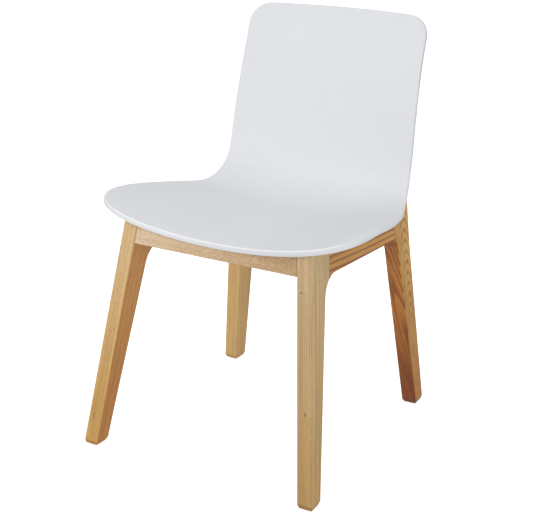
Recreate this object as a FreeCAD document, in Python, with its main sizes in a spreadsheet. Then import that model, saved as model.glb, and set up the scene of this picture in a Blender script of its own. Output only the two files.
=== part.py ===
import FreeCAD
import Part

import math
import os

import Sketcher

# A dining chair: a one-piece moulded shell on a frame of solid ash.
# Millimetres, +Z up, the sitter faces -Y, X = 0 is the plane of symmetry, and Z = 0 is the floor.
# "left" is the sitter's left, which is +X.

V = FreeCAD.Vector

# ---------------------------------------------------------------- driving dimensions

DIMENSIONS = {
    # side frames: each is cut from one leaning board, drawn as (along, up) on the board's outer face
    "floor_half_width": 245.8,
    "splay_slope": 0.114,
    "toe_slope": 0.039,
    "board_thickness": 31.5,
    "front_foot_front": -288.0,
    "front_foot_rear": -254.0,
    "front_edge_slope": 0.2049,
    "front_inner_slope": 0.2576,
    "front_leg_top": 475.0,
    "rear_foot_front": 196.8,
    "rear_foot_rear": 232.7,
    "rear_inner_slope": -0.0885,
    "rear_knee_along": 223.3,
    "rear_knee_up": 351.3,
    "horn_top_along": 229.5,
    "horn_top_up": 508.0,
    "rail_low_front_up": 399.1,
    "rail_low_rear_up": 373.9,
    "front_corner_radius": 46.0,
    "rear_corner_radius": 27.0,
    "horn_radius": 22.0,
    "eased_edge": 2.5,
    "foot_chamfer_inset": 3.2,
    "foot_chamfer_height": 8.5,
    "front_glue_offset": 11.5,
    "rear_glue_offset": 8.0,
    # aprons
    "apron_thickness": 22.0,
    "apron_half_length": 230.0,
    "apron_top": 60.0,
    "front_apron_low": 406.8,
    "front_apron_face": -287.3,
    "front_apron_rake": 0.2016,
    "rear_apron_low": 373.0,
    "rear_apron_face": 197.3,
    "rear_apron_rake": -0.0934,
    # shell: centre line in side view, from the front lip to the top edge
    "lip_along": -206.3,
    "lip_up": 439.3,
    "lip_angle": 4.0,
    "lip_radius": 731.0,
    "seat_angle": -5.16,
    "seat_length": 180.2,
    "bend_radius": 101.4,
    "bend_end_angle": 76.0,
    "lumbar_length": 60.5,
    "lumbar_end_angle": 79.2,
    "back_length": 252.7,
    "back_end_angle": 68.1,
    # shell: lateral dish, as the radius of the cross-section on the centre line
    "dish_radius_front": 905.0,
    "dish_radius_bend": 1280.0,
    "dish_radius_top": 1590.0,
    # shell: half outline, developed flat
    "seat_half_width": 279.8,
    "seat_widest_at": 85.8,
    "front_fullness": 181.3,
    "corner_fullness": 108.5,
    "side_fullness": 136.8,
    "waist_half_width": 208.4,
    "waist_at": 448.2,
    "waist_fullness": 123.1,
    "waist_slope": -0.0136,
    "top_half_width": 200.5,
    "top_corner_radius": 46.5,
    "shoulder_fullness": 63.0,
    "top_arch": 5.0,
    # shell: wall
    "wall": 6.8,
    "lip_wall": 11.0,
    "lip_hold": 10.0,
    "lip_depth": 130.0,
    "rim_rounding_top": 1.5,
    "rim_rounding_under": 1.0,
    "shell_gap": 1.0,
    # fastenings
    "boss_radius": 9.0,
    "insert_radius": 4.5,
    "insert_length": 9.0,
    "bolt_radius": 3.0,
    "bolt_head_radius": 5.5,
    "bolt_head_height": 3.6,
    "bolt_reach": 8.0,
    "washer_radius": 9.0,
    "washer_thickness": 1.6,
    "block_height": 24.0,
    "block_leg": 62.0,
    "block_nose": 15.0,
    "front_block_top": 432.0,
    "rear_block_top": 412.0,
    "front_bolt_inset": 23.0,
    "rear_bolt_inset": 36.0,
    "bolt_side_inset": 23.0,
    "screw_radius": 2.0,
    "screw_head_radius": 3.8,
    "screw_head_height": 2.6,
    "screw_length": 32.0,
    "screw_head_inset": 20.0,
    "screw_end_inset": 16.0,
    "horn_screw_up": 478.0,
    "horn_cap_radius": 6.0,
    "horn_cap_height": 2.5,
    "horn_cap_recess": 9.0,
    "dowel_radius": 5.0,
    "dowel_length": 50.0,
    "apron_dowel_radius": 4.0,
    "apron_dowel_length": 36.0,
    "front_rail_dowel_low": 408.0,
    "front_rail_dowel_high": 432.0,
    "rear_rail_dowel_low": 388.0,
    "rear_rail_dowel_high": 414.0,
    "front_apron_dowel_low": 414.5,
    "front_apron_dowel_high": 430.5,
    "rear_apron_dowel_low": 385.0,
    "rear_apron_dowel_high": 408.0,
    "glide_radius": 11.0,
    "glide_height": 2.5,
    "glide_edge": 0.8,
    "nail_head_recess": 1.0,
    "nail_radius": 1.2,
    "nail_length": 18.0,
}

SIDES = {"left": 1.0, "right": -1.0}

doc = FreeCAD.newDocument("DiningChair")
sheet = doc.addObject("Spreadsheet::Sheet", "Dimensions")
for row, (alias, number) in enumerate(DIMENSIONS.items(), start=1):
    sheet.set(f"A{row}", alias)
    sheet.set(f"B{row}", str(number))
    sheet.setAlias(f"B{row}", alias)
doc.recompute()


def dim(alias):
    """A driving dimension, read back from the sheet."""
    return float(getattr(sheet, alias))


# ---------------------------------------------------------------- helpers


def origin_plane(body, role):
    return next(f for f in body.Origin.OriginFeatures if f.Role == role)


def bind(feature, **expressions):
    """Binds properties of a feature to cells: bind(pad, Length="board_thickness")."""
    for name, expression in expressions.items():
        feature.setExpression(name, "Dimensions." + expression)


def outline_sketch(body, name, plane, corners):
    """A closed outline of straight lines; each corner is a pair of expressions, both bound."""
    sketch = body.newObject("Sketcher::SketchObject", name)
    sketch.AttachmentSupport = (origin_plane(body, plane), [""])
    sketch.MapMode = "FlatFace"
    full = [[c.replace("$", "Dimensions.") for c in corner] for corner in corners]
    points = [V(float(sketch.evalExpression(x)), float(sketch.evalExpression(y)), 0) for x, y in full]
    count = len(points)
    for i, point in enumerate(points):
        sketch.addGeometry(Part.LineSegment(point, points[(i + 1) % count]), False)
    for i in range(count):
        sketch.addConstraint(Sketcher.Constraint("Coincident", i, 2, (i + 1) % count, 1))
    for i, point in enumerate(points):
        for kind, number, expression in zip(("DistanceX", "DistanceY"), (point.x, point.y), full[i]):
            index = sketch.addConstraint(Sketcher.Constraint(kind, -1, 1, i, 1, number))
            sketch.setExpression(f"Constraints[{index}]", expression)
    return sketch


def pad(body, name, sketch, length, backwards):
    feature = body.newObject("PartDesign::Pad", name)
    feature.Profile = sketch
    feature.Reversed = backwards
    bind(feature, Length=length)
    doc.recompute()
    return feature


def round_edges(body, name, base, radius, wanted):
    """A fillet on the edges of base whose midpoint passes the test."""
    edges = [f"Edge{i}" for i, edge in enumerate(base.Shape.Edges, start=1) if wanted(edge)]
    feature = body.newObject("PartDesign::Fillet", name)
    feature.Base = (base, edges)
    bind(feature, Radius=radius)
    doc.recompute()
    return feature


def middle(edge):
    return edge.valueAt((edge.FirstParameter + edge.LastParameter) / 2)


def placement(origin, x_axis, y_axis):
    """A placement from an origin and two axes at right angles."""
    z_axis = x_axis.cross(y_axis)
    matrix = FreeCAD.Matrix(
        x_axis.x, y_axis.x, z_axis.x, origin.x,
        x_axis.y, y_axis.y, z_axis.y, origin.y,
        x_axis.z, y_axis.z, z_axis.z, origin.z,
        0, 0, 0, 1,
    )
    return FreeCAD.Placement(matrix)


def along(direction):
    """The rotation that takes +Z to a direction."""
    return FreeCAD.Rotation(V(0, 0, 1), direction)


def part(kind, name, **properties):
    """A Part workbench object; text values are bound to the sheet, others are set."""
    feature = doc.addObject("Part::" + kind, name)
    for key, value in properties.items():
        if isinstance(value, str):
            feature.setExpression(key, value.replace("$", "Dimensions."))
        else:
            setattr(feature, key, value)
    return feature


def cylinder(name, start, direction, radius, length):
    feature = part("Cylinder", name, Radius=radius, Height=length)
    feature.Placement = FreeCAD.Placement(start, along(direction))
    return feature


def group(name, members):
    feature = part("Compound", name)
    feature.Links = members
    return feature


def cut(name, base, tool):
    return part("Cut", name, Base=base, Tool=tool)


def solid_feature(name, shape):
    feature = doc.addObject("Part::Feature", name)
    feature.Shape = shape
    return feature


# ---------------------------------------------------------------- shell geometry

# The centre line is a chain of arcs and lines, as (length, curvature, angle at its start).
RISE = math.radians(dim("lip_angle"))
SEAT = math.radians(dim("seat_angle"))
BEND = math.radians(dim("bend_end_angle"))
LUMBAR = math.radians(dim("lumbar_end_angle"))
BACK = math.radians(dim("back_end_angle"))
CENTRE_LINE = [
    (dim("lip_radius") * (RISE - SEAT), -1 / dim("lip_radius"), RISE),
    (dim("seat_length"), 0.0, SEAT),
    (dim("bend_radius") * (BEND - SEAT), 1 / dim("bend_radius"), SEAT),
    (dim("lumbar_length"), (LUMBAR - BEND) / dim("lumbar_length"), BEND),
    (dim("back_length"), (BACK - LUMBAR) / dim("back_length"), LUMBAR),
]
SHELL_LENGTH = sum(length for length, curvature, angle in CENTRE_LINE)


def advance(y, z, angle, curvature, length):
    """The point and angle after a length of arc or line."""
    if curvature == 0:
        return y + length * math.cos(angle), z + length * math.sin(angle), angle
    end = angle + curvature * length
    y += (math.sin(end) - math.sin(angle)) / curvature
    z -= (math.cos(end) - math.cos(angle)) / curvature
    return y, z, end


def centre_point(run):
    """(y, z, angle) on the centre line at a length from the lip; the first and last pieces run on."""
    y, z = dim("lip_along"), dim("lip_up")
    for index, (length, curvature, angle) in enumerate(CENTRE_LINE):
        if run <= length or index == len(CENTRE_LINE) - 1:
            return advance(y, z, angle, curvature, run)
        y, z, angle = advance(y, z, angle, curvature, length)
        run -= length


def dish(run):
    """Lateral curvature of the shell at a length from the lip."""
    front, bend, top = (0.5 / dim("dish_radius_" + place) for place in ("front", "bend", "top"))
    at_bend = dim("waist_at")
    if run < at_bend:
        return front + (bend - front) * run / at_bend
    return bend + (top - bend) * (run - at_bend) / (SHELL_LENGTH - at_bend)


def wall(run):
    """Wall thickness: thickest back to lip_hold, then thinning smoothly to lip_depth."""
    thinned = min(1.0, max(0.0, (run - dim("lip_hold")) / (dim("lip_depth") - dim("lip_hold"))))
    return dim("lip_wall") - (dim("lip_wall") - dim("wall")) * thinned**2 * (3 - 2 * thinned)


def shell_point(across, run, depth):
    """A point of the shell, across from the centre line, at a depth below the sitter's face."""
    y, z, angle = centre_point(run)
    curvature = dish(run)
    stretch = math.hypot(1, 2 * curvature * across)
    height = curvature * across**2 - depth / stretch
    x = across + depth * 2 * curvature * across / stretch
    return V(x, y - height * math.sin(angle), z + height * math.cos(angle))


def shell_face(depth, overrun):
    """A smooth face at a depth, given as a function of the run, wider and longer than the shell."""
    columns = [dim("seat_half_width") * 1.06 * step / 6 for step in range(-6, 7)]
    count = 40
    runs = [-overrun + (SHELL_LENGTH + 2 * overrun) * step / count for step in range(count + 1)]
    surface = Part.BSplineSurface()
    surface.interpolate([[shell_point(u, v, depth(v)) for u in columns] for v in runs])
    return surface.toShape()


def bezier(points, steps):
    """Points on a cubic Bezier curve, without its last one."""
    curve = Part.BezierCurve()
    curve.setPoles([V(x, y, 0) for x, y in points])
    return [curve.value(step / steps) for step in range(steps)]


def half_outline():
    """The developed outline, from the middle of the lip to the middle of the top edge."""
    wide, widest = dim("seat_half_width"), dim("seat_widest_at")
    waist, waist_at = dim("waist_half_width"), dim("waist_at")
    slope = dim("waist_slope")
    fullness = dim("waist_fullness")
    top, radius = dim("top_half_width"), dim("top_corner_radius")
    shoulder = SHELL_LENGTH - dim("top_arch") - radius
    handle = dim("shoulder_fullness")
    before_widest = (wide, widest - dim("corner_fullness"))
    front = bezier([(0, 0), (dim("front_fullness"), 0), before_widest, (wide, widest)], 14)
    side = bezier(
        [
            (wide, widest),
            (wide, widest + dim("side_fullness")),
            (waist - slope * fullness, waist_at - fullness),
            (waist, waist_at),
        ],
        14,
    )
    after_waist = (waist + slope * handle, waist_at + handle)
    back = bezier([(waist, waist_at), after_waist, (top, shoulder - handle), (top, shoulder)], 9)
    corner = [
        V(top - radius + radius * math.cos(turn), shoulder + radius * math.sin(turn), 0)
        for turn in (math.pi / 2 * step / 7 for step in range(7))
    ]
    crown = [
        V(x, SHELL_LENGTH - dim("top_arch") * (x / (top - radius)) ** 2, 0)
        for x in ((top - radius) * (1 - step / 6) for step in range(7))
    ]
    return front + side + back + corner + crown


def rim_frames():
    """Round the rim: the middle of the wall, the way out, the sitter's side, and half the wall."""
    half = half_outline()
    loop = half + [V(-p.x, p.y, 0) for p in reversed(half[1:-1])]
    centres = [shell_point(p.x, p.y, wall(p.y) / 2) for p in loop]
    frames = []
    for i, (place, centre) in enumerate(zip(loop, centres)):
        normal = shell_point(place.x, place.y, 0) - shell_point(place.x, place.y, wall(place.y))
        forward = centres[(i + 1) % len(loop)] - centres[i - 1]
        outward = forward.cross(normal).normalize()
        frames.append((centre, outward, normal.normalize(), wall(place.y) / 2))
    return frames


def rim_section(frames, level):
    """A closed curve round the rim; level is -1 at the underside and 1 at the sitter's face."""
    inset = dim("rim_rounding_top") * level**4 if level > 0 else dim("rim_rounding_under") * level**6
    points = [
        centre - outward * inset + normal * (half * level)
        for centre, outward, normal, half in frames
    ]
    curve = Part.BSplineCurve()
    count = len(points)
    curve.interpolate(Points=points, PeriodicFlag=True, Parameters=list(range(count + 1)))
    pieces = 10
    cuts = [count * piece / pieces for piece in range(pieces + 1)]
    return Part.Wire([curve.toShape(start, end) for start, end in zip(cuts, cuts[1:])])


def make_shell_solid():
    """The shell: a thick dished sheet, trimmed by a rounded channel that runs round its rim."""
    overrun = 14.0
    faces = [shell_face(lambda run: 0.0, overrun), shell_face(wall, overrun)]
    sides = [Part.makeRuledSurface(a, b) for a, b in zip(faces[0].Edges, faces[1].Edges)]
    skins = Part.makeShell(faces + sides)
    skins.sewShape()
    blank = Part.makeSolid(skins)
    frames = rim_frames()
    levels = (-1.35, -1.15, -0.95, -0.75, -0.4, 0.0, 0.4, 0.7, 0.9, 1.1, 1.35)
    channel = Part.makeLoft([rim_section(frames, level) for level in levels], False, False)
    pieces = blank.generalFuse([channel])[0].Solids
    inside = shell_point(0, SHELL_LENGTH / 3, dim("wall") / 2)
    return next(s for s in pieces if s.isInside(inside, 0.01, False))


# ---------------------------------------------------------------- boards' planes

SPLAY = dim("splay_slope")
TOE = dim("toe_slope")


def outer_face_x(y, z):
    """Where the outer face of the left side frame is."""
    return dim("floor_half_width") - SPLAY * z - TOE * y


def inner_face_x(y, z):
    return outer_face_x(y, z) - dim("board_thickness") * math.hypot(1, SPLAY, TOE)


def board_placement(side):
    """The side board's own frame: X normal to the board, Y along it, Z up it, on its outer face."""
    sign = SIDES[side]
    x_axis = V(1, sign * TOE, sign * SPLAY).normalize()
    y_axis = V(-sign * TOE, 1, 0).normalize()
    return placement(V(sign * dim("floor_half_width"), 0, 0), x_axis, y_axis)


def apron_placement(which):
    """An apron's own frame: X along the apron, Z up its outer face, at the floor."""
    rake = dim(which + "_apron_rake")
    z_axis = V(0, rake, 1).normalize()
    y_axis = z_axis.cross(V(1, 0, 0))
    return placement(V(0, dim(which + "_apron_face"), 0), V(1, 0, 0), y_axis)


def apron_face_y(which, z):
    return dim(which + "_apron_face") + dim(which + "_apron_rake") * z


def board_slab(side, name):
    """All the space of a side board and outside it, for cutting pieces flush with its inner face."""
    slab = part("Box", name, Length="$board_thickness + 80", Width=900, Height=700)
    inward = -dim("board_thickness") if side == "left" else -80
    shift = FreeCAD.Placement(V(inward, -450, -50), FreeCAD.Rotation())
    slab.Placement = board_placement(side).multiply(shift)
    return slab


def apron_slab(which, name):
    """All the space of an apron and outside it, for cutting the blocks flush with its inner face."""
    slab = part("Box", name, Length=900, Width="$apron_thickness + 80", Height=700)
    outward = -80 if which == "front" else -dim("apron_thickness")
    shift = FreeCAD.Placement(V(-450, outward, -50), FreeCAD.Rotation())
    slab.Placement = apron_placement(which).multiply(shift)
    return slab


# ---------------------------------------------------------------- the space the shell takes

# Wood under the shell is scribed to it: this tool is all the space above a face shell_gap below it.
FORWARD_AND_UP = V(0, -220, 220)
shell_space = solid_feature(
    "shell_space", shell_face(lambda run: wall(run) + dim("shell_gap"), 30.0).extrude(FORWARD_AND_UP)
)
# Bosses end halfway into the wall.
boss_space = solid_feature(
    "boss_space", shell_face(lambda run: wall(run) / 2, 30.0).extrude(FORWARD_AND_UP)
)

# ---------------------------------------------------------------- fastening places


def bolt_place(end, side):
    """The centre of a seat bolt at the top of its corner block."""
    which = "front" if end == "front" else "rear"
    z = dim(which + "_block_top")
    into = 1 if end == "front" else -1
    thickness = dim("apron_thickness") if end == "front" else 0
    y = apron_face_y(which, z) + thickness + into * dim(which + "_bolt_inset")
    return V(SIDES[side] * (inner_face_x(y, z) - dim("bolt_side_inset")), y, z)


def block_corner(end, z):
    """The corner where a block meets the apron and the left board, at a height."""
    y = apron_face_y(end, z) + (dim("apron_thickness") if end == "front" else 0)
    return V(inner_face_x(y, z), y, z)


def block_screw_places(end, side):
    """Head seats and directions of a corner block's screws, into the board and into the apron."""
    z = dim(end + "_block_top") - dim("block_height") / 2
    corner = block_corner(end, z)
    into = 1 if end == "front" else -1
    reach = dim("block_leg") - dim("screw_end_inset")
    sign = SIDES[side]
    recess = dim("screw_head_inset")
    to_board = V(sign * (corner.x - recess), corner.y + into * reach, z + 4)
    to_apron = V(sign * (corner.x - reach), corner.y + into * recess, z - 4)
    return [(to_board, V(sign, 0, 0)), (to_apron, V(0, -into, 0))]


def glue_line(which, up):
    """Where the glue line between a leg and the side rail is on the board, at a height."""
    if which == "front":
        corner_up = dim("rail_low_front_up")
        low = dim("front_foot_rear") + dim("front_inner_slope") * corner_up
        return low + dim("front_glue_offset") + dim("front_edge_slope") * (up - corner_up)
    low = dim("rear_foot_front") + dim("rear_inner_slope") * dim("rail_low_rear_up")
    return low - dim("rear_glue_offset") + dim("rear_inner_slope") * (up - dim("rail_low_rear_up"))


def dowel_ups(end, board):
    """The heights of the two dowels at one end of a board."""
    return dim(f"{end}_{board}_dowel_low"), dim(f"{end}_{board}_dowel_high")


def rail_dowels(side, extra):
    """Dowels across the glue lines, at the middle of the board; extra lengthens each end."""
    frame = board_placement(side)
    inward = -0.5 if side == "left" else 0.5
    made = []
    for end in ("front", "rear"):
        for number, up in enumerate(dowel_ups(end, "rail")):
            along = glue_line(end, up) - dim("dowel_length") / 2 - extra
            start = V(inward * dim("board_thickness"), along, up)
            name = f"rail_dowel_{side}_{end}_{number}_{int(extra)}"
            dowel = cylinder(
                name, frame.multVec(start), frame.Rotation.multVec(V(0, 1, 0)), "$dowel_radius",
                f"$dowel_length + {2 * extra}",
            )
            made.append(dowel)
    return made


def apron_dowels(side, extra):
    """Dowels between the aprons and the boards, along X, half in each."""
    sign = SIDES[side]
    made = []
    for end in ("front", "rear"):
        for number, up in enumerate(dowel_ups(end, "apron")):
            y = apron_face_y(end, up) + dim("apron_thickness") / 2
            x = inner_face_x(y, up) - dim("apron_dowel_length") / 2 - extra
            name = f"apron_dowel_{side}_{end}_{number}_{int(extra)}"
            dowel = cylinder(
                name, V(sign * x, y, up), V(sign, 0, 0), "$apron_dowel_radius",
                f"$apron_dowel_length + {2 * extra}",
            )
            made.append(dowel)
    return made


def horn_place(side):
    """The axis of a horn's screw where it leaves the back of the horn."""
    up = dim("horn_screw_up")
    share = (up - dim("rear_knee_up")) / (dim("horn_top_up") - dim("rear_knee_up"))
    y = dim("rear_knee_along") + share * (dim("horn_top_along") - dim("rear_knee_along"))
    middle_x = (outer_face_x(y, up) + inner_face_x(y, up)) / 2
    return V(SIDES[side] * middle_x, y, up)


def shell_back_y(x, z):
    """Where the back of the shell is, at a distance from the centre and a height."""
    low, high = dim("waist_at") - 60, SHELL_LENGTH
    for _ in range(50):
        run = (low + high) / 2
        point = shell_point(abs(x), run, wall(run))
        low, high = (run, high) if point.z < z else (low, run)
    return point.y


# ---------------------------------------------------------------- sub-parts

nodes = []


def keep(feature, label):
    """Names a finished sub-part."""
    feature.Label = label
    nodes.append(feature)
    return feature


def make_side_frame(side):
    """Two legs and a rail in one outline, rounded, scribed to the shell and cut at the glue lines."""
    body = doc.addObject("PartDesign::Body", "side_board_" + side)
    front_top = "$front_foot_front + $front_edge_slope * $front_leg_top"
    corners = [
        ("$front_foot_front", "0"),
        ("$front_foot_rear", "0"),
        ("$front_foot_rear + $front_inner_slope * $rail_low_front_up", "$rail_low_front_up"),
        ("$rear_foot_front + $rear_inner_slope * $rail_low_rear_up", "$rail_low_rear_up"),
        ("$rear_foot_front", "0"),
        ("$rear_foot_rear", "0"),
        ("$rear_knee_along", "$rear_knee_up"),
        ("$horn_top_along", "$horn_top_up"),
        ("$horn_top_along - 70", "$horn_top_up"),
        (front_top, "$front_leg_top"),
    ]
    sketch = outline_sketch(body, "board_outline_" + side, "YZ_Plane", corners)
    blank = pad(body, "board_" + side, sketch, "board_thickness", side == "left")

    def across_at(corner):
        y, z = (float(sheet.evalExpression(c.replace("$", ""))) for c in corner)
        return lambda edge: abs(middle(edge).y - y) < 1 and abs(middle(edge).z - z) < 1

    shaped = blank
    for corner, radius in ((2, "front_corner_radius"), (3, "rear_corner_radius"), (7, "horn_radius")):
        shaped = round_edges(body, f"{radius}_{side}", shaped, radius, across_at(corners[corner]))
    top_line = dim("front_leg_top") - 2

    def on_a_face(edge):
        depths = [abs(v.Point.x) for v in edge.Vertexes]
        flat = max(depths) < 0.01 or min(depths) > dim("board_thickness") - 0.01
        in_shell = middle(edge).z > top_line and middle(edge).y < dim("horn_top_along") - 75
        return flat and not in_shell

    round_edges(body, "eased_" + side, shaped, "eased_edge", on_a_face)
    body.Placement = board_placement(side)

    floor = part("Box", "floor_space_" + side, Length=900, Width=900, Height="50 + $glide_height")
    floor.Placement = FreeCAD.Placement(V(-450, -450, -50), FreeCAD.Rotation())
    holes = rail_dowels(side, 1.0) + apron_dowels(side, 1.0) + nail_group(side, 0.0)
    holes += screw_holes(side) + horn_holes(side)
    scribed = cut("scribed_" + side, body, group("board_tools_" + side, [shell_space, floor] + holes))
    for which in ("front_leg", "side_rail", "rear_leg"):
        region = glue_region(which, side)
        piece = part("Common", f"{which}_piece_{side}", Base=scribed, Tool=region)
        if which != "side_rail":
            waste = foot_waste(which.split("_")[0], side)
            piece = cut(f"{which}_chamfered_{side}", piece, waste)
        keep(piece, f"{which}_{side}")


def glue_region(which, side):
    """The part of the board's outline that belongs to one piece, bounded by the glue lines."""
    body = doc.addObject("PartDesign::Body", f"{which}_region_body_{side}")
    end = {"front_leg": "front", "rear_leg": "rear", "side_rail": "both"}[which]
    low, high = 0.0, 560.0
    front_line = [(glue_line("front", low), low), (glue_line("front", high), high)]
    rear_line = [(glue_line("rear", high), high), (glue_line("rear", low), low)]
    if end == "front":
        outline = front_line + [(-400, high), (-400, low)]
    elif end == "rear":
        outline = rear_line + [(400, low), (400, high)]
    else:
        outline = front_line + rear_line
    corners = [(str(y), str(z)) for y, z in outline]
    sketch = outline_sketch(body, f"{which}_region_{side}", "YZ_Plane", corners)
    region = body.newObject("PartDesign::Pad", f"{which}_region_pad_{side}")
    region.Profile = sketch
    region.Length = 120
    region.Midplane = True
    doc.recompute()
    body.Placement = board_placement(side)
    return body


def foot_section(end, side, up, inset):
    """The outline of a leg at a height above the floor, drawn in by inset."""
    frame = board_placement(side)
    knee_slope = (dim("rear_knee_along") - dim("rear_foot_rear")) / dim("rear_knee_up")
    slopes = {
        "front": (dim("front_edge_slope"), dim("front_inner_slope")),
        "rear": (dim("rear_inner_slope"), knee_slope),
    }
    edges = list(zip((dim(end + "_foot_front"), dim(end + "_foot_rear")), slopes[end]))
    far = dim("board_thickness") - inset
    corners = []
    for depth, edge, drawn_in in ((inset, 0, inset), (inset, 1, -inset), (far, 1, -inset), (far, 0, inset)):
        x = -SIDES[side] * depth
        slant_up = (up - frame.multVec(V(x, 0, 0)).z) / frame.Rotation.multVec(V(0, 0, 1)).z
        foot, slope = edges[edge]
        corners.append(frame.multVec(V(x, foot + slope * slant_up + drawn_in, slant_up)))
    return Part.makePolygon(corners + corners[:1])


def foot_waste(end, side):
    """What a chamfer round the end of a leg takes away."""
    low, inset, height = dim("glide_height"), dim("foot_chamfer_inset"), dim("foot_chamfer_height")
    spare, reach = 1, 45  # how far the cut runs past the chamfer, up and down, and past the leg
    past_ends = [
        foot_section(end, side, low - spare, inset * (1 + spare / height)),
        foot_section(end, side, low + height + spare, -inset * spare / height),
    ]
    place = foot_place(end, side)
    corner = V(place.x - reach, place.y - reach, low - spare)
    block = Part.makeBox(2 * reach, 2 * reach, height + 2 * spare, corner)
    return solid_feature(f"foot_waste_{end}_{side}", block.cut(Part.makeLoft(past_ends, True, True)))


def make_apron(which):
    """A board between the side frames, raked like the legs, with its top scribed to the shell."""
    body = doc.addObject("PartDesign::Body", which + "_apron_board")
    stretch = math.hypot(1, dim(which + "_apron_rake"))
    low = f"${which}_apron_low * {stretch}"
    corners = [
        ("-$apron_half_length", low),
        ("$apron_half_length", low),
        ("$apron_half_length", low + " + $apron_top"),
        ("-$apron_half_length", low + " + $apron_top"),
    ]
    sketch = outline_sketch(body, which + "_apron_outline", "XZ_Plane", corners)
    blank = pad(body, which + "_apron_pad", sketch, "apron_thickness", True)
    low_value = dim(which + "_apron_low") * stretch

    def low_edge(edge):
        return abs(middle(edge).z - low_value) < 0.01 and edge.Length > 100

    round_edges(body, which + "_apron_eased", blank, "eased_edge", low_edge)
    body.Placement = apron_placement(which)
    tools = [shell_space] + [board_slab(side, f"{which}_apron_end_{side}") for side in SIDES]
    for side in SIDES:
        tools += apron_dowels(side, 1.0) + screw_holes(side)
    keep(cut(which + "_apron_cut", body, group(which + "_apron_tools", tools)), which + "_apron")


def make_corner_block(end, side):
    """A block glued into the corner of a board and an apron, drilled for its bolt and screws."""
    body = doc.addObject("PartDesign::Body", f"block_{end}_{side}")
    sign = SIDES[side]
    into = 1 if end == "front" else -1
    top = dim(end + "_block_top")
    corner = block_corner(end, top)
    lap = 6
    leg = dim("block_leg") + dim(end + "_bolt_inset") - dim("front_bolt_inset")
    points = [
        (corner.x + lap, corner.y - into * lap),
        (corner.x + lap, corner.y + into * leg),
        (corner.x - dim("block_nose"), corner.y + into * leg),
        (corner.x - dim("block_leg"), corner.y + into * dim("block_nose")),
        (corner.x - dim("block_leg"), corner.y - into * lap),
    ]
    corners = [(str(sign * x), str(y)) for x, y in points]
    sketch = outline_sketch(body, f"block_outline_{end}_{side}", "XY_Plane", corners)
    pad(body, f"block_pad_{end}_{side}", sketch, "block_height", True)
    body.Placement = FreeCAD.Placement(V(0, 0, top), FreeCAD.Rotation())
    place = bolt_place(end, side)
    below = place - V(0, 0, dim("block_height") + 1)
    up = V(0, 0, 1)
    tools = [
        board_slab(side, f"block_side_{end}_{side}"),
        apron_slab(end, f"block_end_{end}_{side}"),
        cylinder(f"bolt_hole_{end}_{side}", below, up, "$bolt_radius + 0.4", "$block_height + 2"),
    ]
    tools += screw_holes(side, counterbores=True)
    cut_block = cut(f"block_cut_{end}_{side}", body, group(f"block_tools_{end}_{side}", tools))
    keep(cut_block, f"corner_block_{end}_{side}")


serial = iter(range(10000))


def screw_holes(side, counterbores=False):
    """Pilot holes of the block screws, with the recesses of their heads where wanted."""
    holes = []
    for end in ("front", "rear"):
        for seat, direction in block_screw_places(end, side):
            name = f"pilot_{next(serial)}"
            holes.append(cylinder(name, seat, direction, "$screw_radius", "$screw_length"))
            if counterbores:
                radius = "$screw_head_radius + 0.4"
                holes.append(cylinder("counterbore_" + name, seat, -direction, radius, "60"))
    return holes


def make_block_screws():
    screws = []
    for side in SIDES:
        for end in ("front", "rear"):
            for seat, direction in block_screw_places(end, side):
                name = f"block_screw_{next(serial)}"
                shank = cylinder(
                    name + "_shank", seat, direction, "$screw_radius", "$screw_length - 1"
                )
                head = cylinder(
                    name + "_head", seat, -direction, "$screw_head_radius", "$screw_head_height"
                )
                screws.append(part("Fuse", name, Base=shank, Tool=head))
    keep(group("block_screw_group", screws), "block_screws")


def make_seat_fastenings():
    """Bolts up through the corner blocks, with washers, into brass inserts in the shell's bosses."""
    bolts, washers, inserts = [], [], []
    up = V(0, 0, 1)
    for end in ("front", "rear"):
        for side in SIDES:
            top = bolt_place(end, side)
            under = top - up * dim("block_height")
            seat = under - up * dim("washer_thickness")
            key = f"{end}_{side}"
            length = "$block_height + $washer_thickness + $bolt_reach"
            shank = cylinder("bolt_shank_" + key, seat, up, "$bolt_radius", length)
            head = cylinder("bolt_head_" + key, seat, -up, "$bolt_head_radius", "$bolt_head_height")
            bolts.append(part("Fuse", "bolt_" + key, Base=shank, Tool=head))
            disc = cylinder("washer_disc_" + key, seat, up, "$washer_radius", "$washer_thickness")
            bore = cylinder(
                "washer_bore_" + key, seat - up, up, "$bolt_radius + 0.2", "$washer_thickness + 2"
            )
            washers.append(cut("washer_" + key, disc, bore))
            sleeve = cylinder("insert_sleeve_" + key, top, up, "$insert_radius", "$insert_length")
            length = "$insert_length + 2"
            thread = cylinder("insert_thread_" + key, top - up, up, "$bolt_radius", length)
            inserts.append(cut("insert_" + key, sleeve, thread))
    keep(group("bolt_group", bolts), "seat_bolts")
    keep(group("washer_group", washers), "seat_bolt_washers")
    keep(group("insert_group", inserts), "seat_inserts")


def horn_stack(side):
    """Places along a horn screw: the back of the horn, the head's seat and the mouth of the boss."""
    back = horn_place(side)
    shell = shell_back_y(back.x, back.z)
    seat = V(back.x, back.y - dim("horn_cap_recess"), back.z)
    boss_mouth = V(back.x, shell + 7.0, back.z)
    return back, seat, boss_mouth


def horn_holes(side):
    """Holes in a horn: the screw's, the recess of its head and cap, and the shell's boss's."""
    back, seat, boss_mouth = horn_stack(side)
    rearward = V(0, 1, 0)
    key = f"{side}_{next(serial)}"
    start = boss_mouth - rearward * 20
    return [
        cylinder("horn_hole_" + key, start, rearward, "$bolt_radius + 0.4", "80"),
        cylinder("horn_recess_" + key, seat, rearward, "$horn_cap_radius", "60"),
        cylinder("horn_boss_hole_" + key, boss_mouth, -rearward, "$boss_radius + 0.3", "60"),
    ]


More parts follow.
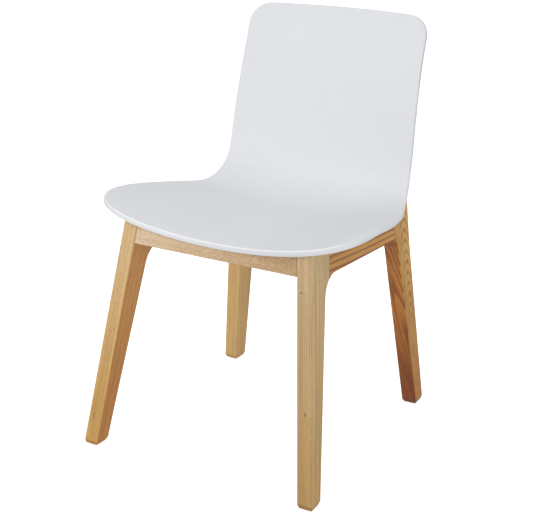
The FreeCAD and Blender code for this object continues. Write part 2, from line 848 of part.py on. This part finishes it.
def make_horn_fastenings():
    """Capped screws forward through the horns into inserts in the bosses on the shell's back."""
    screws, caps, inserts = [], [], []
    forward = V(0, -1, 0)
    for side in SIDES:
        back, seat, boss_mouth = horn_stack(side)
        reach = (seat.y - boss_mouth.y) + dim("bolt_reach") - 1
        shank = cylinder("horn_shank_" + side, seat, forward, "$bolt_radius", str(reach))
        head = cylinder("horn_head_" + side, seat, -forward, "$bolt_head_radius", "$bolt_head_height")
        screws.append(part("Fuse", "horn_screw_" + side, Base=shank, Tool=head))
        cap_start = back - forward * 0.8 + forward * dim("horn_cap_height")
        cap = cylinder("horn_cap_" + side, cap_start, -forward, "$horn_cap_radius", "$horn_cap_height")
        caps.append(cap)
        length = "$insert_length - 1"
        sleeve = cylinder("horn_sleeve_" + side, boss_mouth, forward, "$insert_radius", length)
        length = "$insert_length + 2"
        thread = cylinder("horn_thread_" + side, boss_mouth - forward, forward, "$bolt_radius", length)
        inserts.append(cut("horn_insert_" + side, sleeve, thread))
    keep(group("horn_screw_group", screws), "horn_screws")
    keep(group("horn_cap_group", caps), "horn_caps")
    keep(group("horn_insert_group", inserts), "horn_inserts")


def make_seat_shell():
    """The moulded shell with its six bosses, each drilled for its insert."""
    skin = solid_feature("shell_skin", make_shell_solid())
    bosses, sockets = [], []
    up, rearward = V(0, 0, 1), V(0, 1, 0)
    for end in ("front", "rear"):
        for side in SIDES:
            top = bolt_place(end, side)
            key = f"{end}_{side}"
            bosses.append(cylinder("boss_" + key, top, up, "$boss_radius", "40"))
            length = "$insert_length + 1"
            sockets.append(cylinder("socket_" + key, top - up, up, "$insert_radius", length))
    for side in SIDES:
        back, seat, boss_mouth = horn_stack(side)
        bosses.append(cylinder("back_boss_" + side, boss_mouth, -rearward, "$boss_radius", "40"))
        start = boss_mouth + rearward
        name = "back_socket_" + side
        sockets.append(cylinder(name, start, -rearward, "$insert_radius", "$insert_length"))
    trimmed = cut("bosses_trimmed", group("bosses", bosses), boss_space)
    joined = part("Fuse", "shell_with_bosses", Base=skin, Tool=trimmed)
    keep(cut("shell_drilled", joined, group("sockets", sockets)), "seat_shell")


def foot_place(end, side):
    """The middle of a foot on the floor."""
    middle_along = (dim(end + "_foot_front") + dim(end + "_foot_rear")) / 2
    frame = board_placement(side)
    inward = -0.5 if side == "left" else 0.5
    point = frame.multVec(V(inward * dim("board_thickness"), middle_along, 4))
    return V(point.x, point.y, 0)


def nail_group(side, start_up):
    """The nails of the glides on one side, along Z."""
    nails = []
    for end in ("front", "rear"):
        place = foot_place(end, side) + V(0, 0, start_up)
        length = f"$glide_height + $nail_length - {start_up}"
        nails.append(cylinder(f"nail_{next(serial)}", place, V(0, 0, 1), "$nail_radius", length))
    return nails


def make_glides():
    """Nylon discs under the feet, each with the nail that holds it."""
    recess, edge = dim("nail_head_recess"), dim("glide_edge")
    up = V(0, 0, 1)
    nails = []
    for side in SIDES:
        bores = nail_group(side, recess)
        nails += bores
        for end, bore in zip(("front", "rear"), bores):
            place = foot_place(end, side)
            key = f"{end}_{side}"
            lower = part(
                "Cone", "glide_edge_" + key,
                Radius1="$glide_radius - $glide_edge", Radius2="$glide_radius", Height="$glide_edge",
            )
            lower.Placement = FreeCAD.Placement(place, FreeCAD.Rotation())
            height = "$glide_height - $glide_edge"
            disc = cylinder("glide_disc_" + key, place + up * edge, up, "$glide_radius", height)
            glide = part("Fuse", "glide_body_" + key, Base=lower, Tool=disc)
            depth = "1 + $nail_head_recess"
            mouth = cylinder("glide_mouth_" + key, place - up, up, "$nail_radius * 2", depth)
            drilled = cut("glide_cut_" + key, glide, group("glide_tools_" + key, [bore, mouth]))
            keep(drilled, f"foot_glide_{end}_{side}")
    keep(group("nail_group", nails), "glide_nails")


for side_name in SIDES:
    make_side_frame(side_name)
for apron_name in ("front", "rear"):
    make_apron(apron_name)
for end_name in ("front", "rear"):
    for side_name in SIDES:
        make_corner_block(end_name, side_name)
make_block_screws()
make_seat_fastenings()
make_horn_fastenings()
make_seat_shell()
make_glides()
for make_dowels, label in ((rail_dowels, "side_rail_dowels"), (apron_dowels, "apron_dowels")):
    keep(group(label + "_group", make_dowels("left", 0.0) + make_dowels("right", 0.0)), label)
doc.recompute()

# ---------------------------------------------------------------- check and write

failed = [o.Name for o in doc.Objects if {"Invalid", "Error"} & set(o.State)]
if failed:
    raise RuntimeError("failed objects: " + ", ".join(failed))
for node in nodes:
    if node.Shape.isNull() or not node.Shape.isValid() or not node.Shape.Solids:
        raise RuntimeError("bad shape: " + node.Label)

os.makedirs("parts", exist_ok=True)
for node in nodes:
    node.Shape.exportStep(os.path.join("parts", node.Label + ".step"))
    box = node.Shape.optimalBoundingBox(True, False)
    extents = ((box.XMin, box.XMax), (box.YMin, box.YMax), (box.ZMin, box.ZMax))
    print(
        f"{node.Label:26s} solids {len(node.Shape.Solids):2d}  {node.Shape.Volume / 1000:8.1f} cm3",
        "  ".join(f"{low:7.1f} {high:7.1f}" for low, high in extents),
    )
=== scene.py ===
import bpy
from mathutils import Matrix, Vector

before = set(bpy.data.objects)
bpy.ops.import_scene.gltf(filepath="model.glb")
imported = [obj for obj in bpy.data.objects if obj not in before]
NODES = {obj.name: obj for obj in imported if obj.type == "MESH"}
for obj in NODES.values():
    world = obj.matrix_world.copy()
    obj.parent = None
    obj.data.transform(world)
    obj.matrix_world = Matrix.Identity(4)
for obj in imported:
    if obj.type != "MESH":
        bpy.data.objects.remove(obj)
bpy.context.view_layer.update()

scene = bpy.context.scene


# ---------------------------------------------------------------- camera, light and floor


def add_camera(location, target, lens):
    """A camera at location, looking at target."""
    data = bpy.data.cameras.new("camera")
    data.lens = lens
    data.sensor_width = 36.0
    data.clip_end = 200.0
    camera = bpy.data.objects.new("camera", data)
    scene.collection.objects.link(camera)
    camera.location = location
    camera.rotation_euler = (Vector(target) - Vector(location)).to_track_quat("-Z", "Y").to_euler()
    scene.camera = camera


def add_area_light(name, location, target, size, watts):
    """A soft rectangular light, turned toward target."""
    data = bpy.data.lights.new(name, "AREA")
    data.shape = "RECTANGLE"
    data.size, data.size_y = size
    data.energy = watts
    light = bpy.data.objects.new(name, data)
    scene.collection.objects.link(light)
    light.location = location
    light.rotation_euler = (Vector(target) - Vector(location)).to_track_quat("-Z", "Y").to_euler()


def make_world(below, horizon, zenith):
    """A pale studio: bright round the horizon, dimmer overhead and underfoot."""
    world = bpy.data.worlds.new("studio")
    scene.world = world
    world.use_nodes = True
    tree = Tree(world.node_tree)
    where = tree.add("ShaderNodeTexCoord")
    split = tree.add("ShaderNodeSeparateXYZ", Vector=where.outputs["Generated"])
    levels = ((0.0, below), (0.48, horizon), (0.9, zenith))
    level = tree.ramp(split.outputs["Z"], [(height, [grey] * 3) for height, grey in levels])
    back = tree.add("ShaderNodeBackground", Color=level, Strength=1.0)
    out = tree.add("ShaderNodeOutputWorld")
    tree.links.new(back.outputs[0], out.inputs[0])


# ---------------------------------------------------------------- node helpers


class Tree:
    """Short forms for building a node tree from nothing."""

    def __init__(self, node_tree):
        self.nodes, self.links = node_tree.nodes, node_tree.links
        self.nodes.clear()

    def add(self, kind, _props=None, **inputs):
        node = self.nodes.new(kind)
        for key, value in (_props or {}).items():
            setattr(node, key, value)
        for key, value in inputs.items():
            self.feed(node.inputs[key.replace("_", " ")], value)
        return node

    def feed(self, socket, value):
        if isinstance(value, bpy.types.NodeSocket):
            self.links.new(value, socket)
        elif isinstance(value, bpy.types.Node):
            self.links.new(value.outputs[0], socket)
        else:
            if socket.type == "RGBA" and len(value) == 3:
                value = (*value, 1.0)
            socket.default_value = value

    def math(self, operation, *values):
        node = self.nodes.new("ShaderNodeMath")
        node.operation = operation
        for socket, value in zip(node.inputs, values):
            self.feed(socket, value)
        return node.outputs[0]

    def vector(self, operation, *values):
        node = self.nodes.new("ShaderNodeVectorMath")
        node.operation = operation
        for socket, value in zip(node.inputs, values):
            self.feed(socket, value)
        return node.outputs["Value" if operation in ("DOT_PRODUCT", "LENGTH", "DISTANCE") else "Vector"]

    def noise(self, vector, scale, detail=2.0, rough=0.5):
        node = self.add("ShaderNodeTexNoise", Vector=vector, Scale=scale, Detail=detail, Roughness=rough)
        return node.outputs["Fac"]

    def ramp(self, value, stops):
        """A colour that changes evenly between stops of (value, colour)."""
        node = self.nodes.new("ShaderNodeValToRGB")
        elements = node.color_ramp.elements
        while len(elements) < len(stops):
            elements.new(0.5)
        for element, (place, colour) in zip(elements, stops):
            element.position = place
            element.color = (*colour, 1.0)
        self.feed(node.inputs["Fac"], value)
        return node.outputs["Color"]

    def span(self, value, low, high, to_low=0.0, to_high=1.0):
        """Carries low to high onto to_low to to_high, and stops at the ends."""
        node = self.nodes.new("ShaderNodeMapRange")
        for socket, number in zip(node.inputs[:5], (value, low, high, to_low, to_high)):
            self.feed(socket, number)
        return node.outputs[0]

    def facing(self, way):
        """How near the surface looks to one way: 1 straight along it, 0 square to it."""
        normal = self.add("ShaderNodeNewGeometry").outputs["Normal"]
        return self.vector("DOT_PRODUCT", normal, way)

    def tinted(self, base, painted_colour):
        """A colour multiplied by another."""
        return self.mix(1.0, base, painted_colour, "MULTIPLY")

    def mix(self, factor, first, second, blend="MIX"):
        node = self.nodes.new("ShaderNodeMix")
        node.data_type, node.blend_type = "RGBA", blend
        for name, value in (("Factor_Float", factor), ("A_Color", first), ("B_Color", second)):
            socket = next(s for s in node.inputs if s.identifier == name)
            self.feed(socket, value)
        return next(s for s in node.outputs if s.identifier == "Result_Color")

    def bump(self, height, strength, distance):
        node = self.add("ShaderNodeBump", Height=height, Strength=strength, Distance=distance)
        return node.outputs[0]

    def finish(self, **inputs):
        shader = self.add("ShaderNodeBsdfPrincipled", **inputs)
        out = self.add("ShaderNodeOutputMaterial")
        self.links.new(shader.outputs[0], out.inputs["Surface"])


def new_material(name):
    """An empty node material and its tree."""
    material = bpy.data.materials.new(name)
    material.use_nodes = True
    return material, Tree(material.node_tree)


# ---------------------------------------------------------------- materials


# Each of these multiplies a piece's mean colour.
LIGHT_WOOD = (1.12, 1.13, 1.15)
DARK_WOOD = (0.50, 0.36, 0.24)
VESSEL_WOOD = (0.42, 0.32, 0.22)
KNOT_WOOD = (0.40, 0.26, 0.16)
SEAM_WOOD = (0.42, 0.33, 0.24)
END_GRAIN = (0.80, 0.63, 0.43)


def wood_material(
    name,
    along,
    across,
    top,
    bottom,
    reach=None,
    seed=1,
    rings=0.0040,
    pith=(0.30, -0.28),
    slope=0.0,
    wander=1.0,
    clear_above=None,
    lines=1.0,
    streaks=1.0,
    flecks=1.0,
    fleck_turn=0.0,
    face_light_and_shade=(),
    knots=(),
    seams=(),
):
    """Ash, with its grain along the piece.

    bottom and top are its mean colours at the ends of reach, measured along the grain; without a reach
    they mix in soft clouds. On the legs the darker bottom colour is partly the wood's own tone and partly
    painted shade toward the foot. The growth rings go round a pith line that is off the piece. slope tilts
    the grain against the piece, which turns straight lines into cathedral arches, and wander is how much
    the rings stray; above clear_above, measured up the grain, they come out clearly. fleck_turn turns the
    short flecks. Each entry of the face list is painted light or shade: it multiplies the colour of the
    faces that look one way, lighter or darker as light falls on them; its third item is how far up the
    grain it is full and how far up it is gone, or nothing when it doesn't fade. knots are pin knots, each
    a place, a width and a length. seams are planes, as a point and a direction, where a glue line shows
    dark.
    """
    material, t = new_material(name)
    place = t.add("ShaderNodeTexCoord").outputs["Object"]
    axis_a = Vector(along).normalized()
    axis_b = (Vector(across) - axis_a * Vector(across).dot(axis_a)).normalized()
    axis_c = axis_a.cross(axis_b)
    a, b, c = (t.vector("DOT_PRODUCT", place, tuple(axis)) for axis in (axis_a, axis_b, axis_c))
    c = t.math("ADD", c, t.math("MULTIPLY", a, slope))
    local = t.add("ShaderNodeCombineXYZ", X=a, Y=b, Z=c)
    shifted = t.vector("ADD", local.outputs[0], (seed * 3.7, seed * 1.3, seed * 2.1))

    def grain(scale, detail, rough=0.5, turn=0.0):
        """Noise with scale cycles a metre along the grain and across it, two ways."""
        where = shifted
        if turn:
            turned = t.add("ShaderNodeVectorRotate", {"rotation_type": "Z_AXIS"}, Vector=shifted, Angle=turn)
            where = turned.outputs[0]
        return t.noise(t.vector("MULTIPLY", where, scale), 1.0, detail, rough)

    # growth rings: a dark porous line, fading into plain summer wood
    drift = grain((2.4, 9.0, 9.0), 2.0)
    wave = grain((13.0, 60.0, 60.0), 2.0)
    ring_b = t.math("POWER", t.math("ADD", b, -pith[0]), 2.0)
    ring_c = t.math("POWER", t.math("ADD", c, -pith[1]), 2.0)
    radius = t.math("SQRT", t.math("ADD", ring_b, ring_c))
    radius = t.math("ADD", radius, t.math("MULTIPLY", drift, 0.020 * wander))
    radius = t.math("ADD", radius, t.math("MULTIPLY", wave, 0.0022 * wander))
    phase = t.math("FRACT", t.math("DIVIDE", radius, rings))
    greys = ((0.0, 1.0), (0.20, 0.7), (0.42, 0.12), (0.88, 0.0), (1.0, 1.0))
    ring = t.ramp(phase, [(spot, [grey] * 3) for spot, grey in greys])

    streak = grain((2.2, 110.0, 110.0), 4.0, 0.62)
    band = grain((0.9, 30.0, 30.0), 2.0)
    fibre = grain((14.0, 900.0, 900.0), 3.0, 0.7)
    fleck = grain((120.0, 520.0, 520.0), 2.0, 0.6, turn=fleck_turn)
    pores = grain((75.0, 2100.0, 2100.0), 1.0)
    cloud = grain((5.0, 18.0, 18.0), 3.0)

    tone = t.math("MULTIPLY", ring, 0.24 * lines)
    if clear_above:
        tone = t.math("MULTIPLY", tone, t.span(a, clear_above - 0.05, clear_above + 0.03, 0.25, 1.0))
    for value, low, high, least, most in (
        (streak, 0.35, 0.7, -0.10 * streaks, 0.26 * streaks),
        (band, 0.35, 0.7, -0.04, 0.10),
        (fibre, 0.3, 0.8, -0.05, 0.10),
        (fleck, 0.35, 0.75, -0.06 * flecks, 0.14 * flecks),
        (cloud, 0.35, 0.7, -0.05, 0.08),
    ):
        tone = t.math("ADD", tone, t.span(value, low, high, least, most))
    # On the legs this blend darkens toward the foot: partly the wood's own tone, partly painted shade.
    if reach:
        base = t.mix(t.span(a, reach[0], reach[1]), bottom, top)
    else:
        base = t.mix(t.span(cloud, 0.3, 0.7), bottom, top)
    end_grain = t.span(t.math("ABSOLUTE", t.facing(tuple(axis_a))), 0.2, 0.4)
    base = t.mix(end_grain, base, t.tinted(base, END_GRAIN))
    # Painted light and shade: faces that look one way are made lighter or darker as light falls on them.
    for way, painted_colour, fade in face_light_and_shade:
        shown = t.span(t.facing(way), 0.3, 0.85)
        if fade:
            shown = t.math("MULTIPLY", shown, t.span(a, fade[0], fade[1], 1.0, 0.0))
        base = t.mix(shown, base, t.tinted(base, painted_colour))
    colour = t.mix(tone, t.tinted(base, LIGHT_WOOD), t.tinted(base, DARK_WOOD))
    vessel = t.math("MULTIPLY", t.span(pores, 0.60, 0.68), t.span(ring, 0.05, 0.6, 0.18, 1.0))
    colour = t.mix(t.math("MULTIPLY", vessel, 0.6), colour, t.tinted(base, VESSEL_WOOD))
    for knot, wide, long in knots:
        away = t.vector("SUBTRACT", place, knot)
        end_on = t.math("DIVIDE", t.vector("DOT_PRODUCT", away, tuple(axis_a)), long)
        side_on = t.math("DIVIDE", t.vector("DOT_PRODUCT", away, tuple(axis_b)), wide)
        distance = t.vector("LENGTH", t.add("ShaderNodeCombineXYZ", X=end_on, Y=side_on))
        ragged = t.math("ADD", distance, t.span(fleck, 0.2, 0.8, -0.35, 0.35))
        colour = t.mix(t.span(ragged, 0.2, 1.0, 0.9, 0.0), colour, t.tinted(base, KNOT_WOOD))
    for point, way in seams:
        away = t.vector("SUBTRACT", place, point)
        distance = t.math("ABSOLUTE", t.vector("DOT_PRODUCT", away, tuple(Vector(way).normalized())))
        colour = t.mix(t.span(distance, 0.0003, 0.0012, 0.55, 0.0), colour, t.tinted(base, SEAM_WOOD))
    height = t.math("SUBTRACT", t.math("MULTIPLY", fibre, 0.35), vessel)
    rough = t.math("ADD", t.span(fibre, 0.2, 0.8, 0.42, 0.54), t.math("MULTIPLY", vessel, 0.2))
    t.finish(
        Base_Color=colour,
        Roughness=rough,
        Normal=t.bump(height, 0.35, 0.0004),
        Coat_Weight=0.08,
        Coat_Roughness=0.32,
    )
    return material


def plastic_material(name, colour, rough, painted_light_and_shade=()):
    """Moulded plastic: a fine even texture, a slight mottle and faint handling marks.

    Each entry paints shade or a highlight onto the faces that look one way, mixing them toward its colour:
    (way, spread, fades, colour, amount). spread is how near to that way they must look to be painted at
    all, and fully. Each of fades is an axis and the places along it where the painted light or shade is
    full and gone.
    """
    material, t = new_material(name)
    place = t.add("ShaderNodeTexCoord").outputs["Object"]
    mottle = t.noise(place, 9.0, 4.0, 0.55)
    fine = t.noise(place, 2600.0, 2.0, 0.6)
    flow = t.noise(place, 60.0, 3.0)
    darker = tuple(channel * 0.975 for channel in colour)
    shown = t.mix(t.span(mottle, 0.3, 0.7), darker, colour)
    parts = t.add("ShaderNodeSeparateXYZ", Vector=place).outputs
    # Painted light and shade: faces that look one way are mixed toward a darker or a brighter colour.
    for way, (none, full), fades, painted_colour, amount in painted_light_and_shade:
        painted_amount = t.span(t.facing(tuple(Vector(way).normalized())), none, full, 0.0, amount)
        for axis, whole, gone in fades:
            painted_amount = t.math("MULTIPLY", painted_amount, t.span(parts[axis], whole, gone, 1.0, 0.0))
        shown = t.mix(painted_amount, shown, painted_colour)
    drift = t.span(flow, 0.3, 0.7, rough - 0.03, rough + 0.03)
    roughness = t.math("ADD", drift, t.span(fine, 0.3, 0.7, -0.02, 0.02))
    t.finish(
        Base_Color=shown,
        Roughness=roughness,
        Normal=t.bump(t.math("ADD", fine, t.math("MULTIPLY", flow, 0.6)), 0.10, 0.0002),
    )
    return material


def metal_material(name, colour, rough, brushed):
    """Plated or turned metal with fine tool marks."""
    material, t = new_material(name)
    place = t.add("ShaderNodeTexCoord").outputs["Object"]
    marks = t.noise(t.vector("MULTIPLY", place, brushed), 1.0, 3.0, 0.6)
    patch = t.noise(place, 120.0, 3.0)
    darker = tuple(channel * 0.8 for channel in colour)
    t.finish(
        Base_Color=t.mix(t.span(patch, 0.35, 0.7), darker, colour),
        Metallic=1.0,
        Roughness=t.math("ADD", t.span(marks, 0.3, 0.7, -0.06, 0.06), rough),
        Normal=t.bump(marks, 0.2, 0.0002),
    )
    return material


def dress(material, *names):
    """Gives CAD nodes a material."""
    for name in names:
        slots = NODES[name].material_slots
        if not slots:
            NODES[name].data.materials.append(material)
        for slot in slots:
            slot.material = material


# ---------------------------------------------------------------- the picture

CAMERA_AT = (1.1763, -1.9769, 1.1826)
LOOK_AT = (0.2179, -0.3549, 0.4975)
LENS = 81.9
add_camera(CAMERA_AT, LOOK_AT, LENS)
scene.view_settings.view_transform = "Standard"
make_world(below=0.62, horizon=0.70, zenith=0.84)
add_area_light("key", (-2.2, -2.6, 2.6), (0, 0, 0.5), size=(2.0, 2.0), watts=19)
add_area_light("front", (-0.6, -3.6, 0.9), (0, 0, 0.4), size=(2.0, 1.5), watts=21)
add_area_light("right", (3.4, -1.2, 1.0), (0, 0, 0.4), size=(1.8, 1.5), watts=15)

FLOOR_REACH = 40.0
CORNERS = ((-1, -1), (1, -1), (1, 1), (-1, 1))
floor_mesh = bpy.data.meshes.new("floor")
floor_mesh.from_pydata([(x * FLOOR_REACH, y * FLOOR_REACH, 0) for x, y in CORNERS], [], [range(4)])
floor = bpy.data.objects.new("floor", floor_mesh)
scene.collection.objects.link(floor)
floor.visible_diffuse = False
floor.visible_glossy = False
floor_material, tree = new_material("pale_floor")
tree.finish(
    Base_Color=(0.93, 0.93, 0.93),
    Roughness=0.9,
    Emission_Color=(1, 1, 1),
    Emission_Strength=0.62,
)
floor_mesh.materials.append(floor_material)

# ---------------------------------------------------------------- finishes

UP = (0, 0, 1)
SPLAY, TOE, RAKE = 0.114, 0.039, 0.2016
BOARD_OUTER, BOARD_INNER = 0.2458, 0.2141  # half widths at the floor, in the middle of the depth


def board_plane(side, along, up, slope):
    """A plane square to a side board, through a place on it, that leans along the board by slope."""
    x_axis = Vector((1, side * TOE, side * SPLAY)).normalized()
    y_axis = Vector((-side * TOE, 1, 0)).normalized()
    z_axis = x_axis.cross(y_axis)
    origin = Vector((side * BOARD_OUTER, 0, 0))
    return tuple(origin + y_axis * along + z_axis * up), tuple(y_axis - z_axis * slope)


def rail_seams(side):
    """The glue lines between a side rail and its legs."""
    return board_plane(side, -0.1397, 0.3991, 0.2049), board_plane(side, 0.1557, 0.3739, -0.0885)


FRONT_SEAM_LEFT, REAR_SEAM_LEFT = rail_seams(1)
FRONT_SEAM_RIGHT, REAR_SEAM_RIGHT = rail_seams(-1)
APRON_SEAMS = [((side * BOARD_INNER, 0, 0), (side, TOE, SPLAY)) for side in (-1, 1)]

dress(
    wood_material(
        "ash_front_left", (-SPLAY, RAKE, 1), (1, 0, 0),
        # Darker toward the foot, partly the wood's own tone and partly painted shade; the faces toward +X
        # are painted lighter: painted light.
        (0.615, 0.445, 0.245), (0.475, 0.293, 0.10), (0.0, 0.46),
        seed=1, rings=0.0045, lines=1.1, wander=0.5, face_light_and_shade=[((1, 0, 0.1), (1.10, 1.12, 1.08), None)],
        seams=[FRONT_SEAM_LEFT],
        knots=[
            ((0.1876, -0.2109, 0.3818), 0.0036, 0.0026), ((0.2213, -0.2532, 0.1719), 0.0028, 0.0060),
            ((0.2405, -0.235, 0.2225), 0.0030, 0.0030),
        ],
    ),
    "front_leg_left",
)
dress(
    wood_material(
        "ash_front_right", (SPLAY, RAKE, 1), (1, 0, 0),
        # Darker toward the foot, partly the wood's own tone and partly painted shade; the faces toward +X,
        # on the inner side under the seat, are painted darker and more orange: painted shade.
        (0.73, 0.515, 0.275), (0.60, 0.352, 0.095), (0.0, 0.46),
        seed=2, lines=0.7, streaks=1.1, flecks=1.5, pith=(0.02, -0.35),
        face_light_and_shade=[((1, 0, 0), (0.89, 0.64, 0.38), None)],
        knots=[((-0.2375, -0.2753, 0.0619), 0.0021, 0.0110)], seams=[FRONT_SEAM_RIGHT],
    ),
    "front_leg_right",
)
dress(
    wood_material(
        "ash_rear_left", (-SPLAY, -0.06, 1), (0, 1, 0),
        # Darker toward the foot, partly the wood's own tone and partly painted shade. The front faces (-Y),
        # under the seat, carry painted shade: darker and more orange all over, darker still near the top and
        # toward the foot.
        (0.66, 0.370, 0.078), (0.425, 0.172, 0.014), (0.0, 0.28),
        seed=3, rings=0.0045, pith=(0.2147, -0.2615), slope=-0.20, wander=0.15, clear_above=0.13,
        lines=3.2, streaks=1.5,
        face_light_and_shade=[
            ((0, -1, 0), (0.90, 0.65, 0.57), None),
            ((0, -1, 0), (0.84, 0.83, 0.85), (0.29, 0.22)),
            ((0, -1, 0), (0.62, 0.52, 0.30), (0.04, 0.18)),
        ],
        seams=[REAR_SEAM_LEFT],
    ),
    "rear_leg_left",
)
dress(
    wood_material(
        "ash_rear_right", (SPLAY, -0.06, 1), (1, 0, 0),
        # Slightly darker toward the foot, partly the wood's own tone and partly painted shade; the faces
        # toward +X, on the inner side, are painted darker: painted shade.
        (0.71, 0.45, 0.18), (0.65, 0.40, 0.15), (0.0, 0.46),
        seed=4, lines=0.7, face_light_and_shade=[((1, 0, 0), (0.92, 0.90, 0.81), None)], seams=[REAR_SEAM_RIGHT],
    ),
    "rear_leg_right",
)
RAIL_COLOUR = (0.615, 0.293, 0.050)
for seed, side, seams in (
    (5, "left", [FRONT_SEAM_LEFT, REAR_SEAM_LEFT]),
    (6, "right", [FRONT_SEAM_RIGHT, REAR_SEAM_RIGHT]),
):
    rail = wood_material(
        "ash_rail_" + side, (0, 1, -0.085), UP, RAIL_COLOUR, RAIL_COLOUR,
        seed=seed, rings=0.0105, pith=(0.62, 0.05), wander=0.6, lines=4.0, seams=seams,
    )
    dress(rail, "side_rail_" + side)
for seed, end in ((7, "front"), (8, "rear")):
    board = wood_material(
        "ash_apron_" + end, (1, 0, 0), UP,
        (0.565, 0.370, 0.185), (0.75, 0.56, 0.36), (-0.17, 0.17),
        seed=seed, lines=0.5, flecks=2.8, fleck_turn=-0.8, pith=(0.7, 0.1), seams=APRON_SEAMS,
    )
    dress(board, end + "_apron")
    for number, side in enumerate(("left", "right")):
        block = wood_material(
            f"ash_block_{end}_{side}", (0, 1, 0), (1, 0, 0), (0.62, 0.42, 0.2), (0.5, 0.3, 0.12),
            seed=9 + 2 * (seed - 7) + number,
        )
        dress(block, f"corner_block_{end}_{side}")
for seed, name, along in ((13, "side_rail_dowels", (0, 1, 0)), (14, "apron_dowels", (1, 0, 0))):
    beech = wood_material(
        "beech_" + name, along, UP, (0.64, 0.44, 0.24), (0.58, 0.38, 0.19), seed=seed, lines=0.4,
    )
    dress(beech, name)

# Colours that the shell's painted shade and painted highlights mix toward.
PAINTED_SHADE_COLOUR, PAINTED_HIGHLIGHT_COLOUR = (0.0, 0.0, 0.0), (1.0, 1.0, 1.0)
WIDE, NARROW = (0.70, 0.92), (0.90, 0.97)
LIP = ("Y", -0.19, -0.17)
# Painted light and shade on the shell: painted shade on faces toward +X along the back's side and top
# corner, a painted highlight along the front lip that is strongest toward -X, faint painted shade on the lip
# toward +X, a narrow painted highlight on the lip's upper rounding, and painted shade on the seat's upward
# faces toward +X.
RIM_PAINTED_LIGHT_AND_SHADE = [
    ((1, 0, 0), WIDE, [("Z", 0.52, 0.50)], PAINTED_SHADE_COLOUR, 0.10),
    ((1, 0, 0), WIDE, [("Z", 0.68, 0.66)], PAINTED_SHADE_COLOUR, 0.12),
    ((0.5, 0.2, 0.8), WIDE, [("Z", 0.75, 0.73)], PAINTED_SHADE_COLOUR, 0.20),
    ((-0.3, -0.9, 0.2), WIDE, [LIP, ("Z", 0.460, 0.470), ("X", -0.10, 0.08)], PAINTED_HIGHLIGHT_COLOUR, 0.36),
    ((0, -0.9, 0.2), WIDE, [LIP, ("Z", 0.470, 0.480), ("X", 0.16, 0.06)], PAINTED_SHADE_COLOUR, 0.035),
    ((0, -0.75, 0.66), NARROW, [LIP, ("Z", 0.475, 0.485)], PAINTED_HIGHLIGHT_COLOUR, 0.60),
    ((0, 0, 1), WIDE, [("Z", 0.47, 0.48), ("X", 0.20, 0.02)], PAINTED_SHADE_COLOUR, 0.055),
]
dress(plastic_material("shell_plastic", (0.79, 0.805, 0.835), 0.42, painted_light_and_shade=RIM_PAINTED_LIGHT_AND_SHADE), "seat_shell")
dress(plastic_material("cap_plastic", (0.55, 0.56, 0.57), 0.5), "horn_caps")
GLIDES = [f"foot_glide_{end}_{side}" for end in ("front", "rear") for side in ("left", "right")]
dress(plastic_material("glide_nylon", (0.62, 0.60, 0.55), 0.55), *GLIDES)
steel = metal_material("zinc_steel", (0.62, 0.62, 0.64), 0.32, (900, 900, 60))
dress(steel, "block_screws", "seat_bolts", "seat_bolt_washers", "horn_screws", "glide_nails")
brass = metal_material("turned_brass", (0.78, 0.58, 0.28), 0.28, (700, 700, 1500))
dress(brass, "seat_inserts", "horn_inserts")
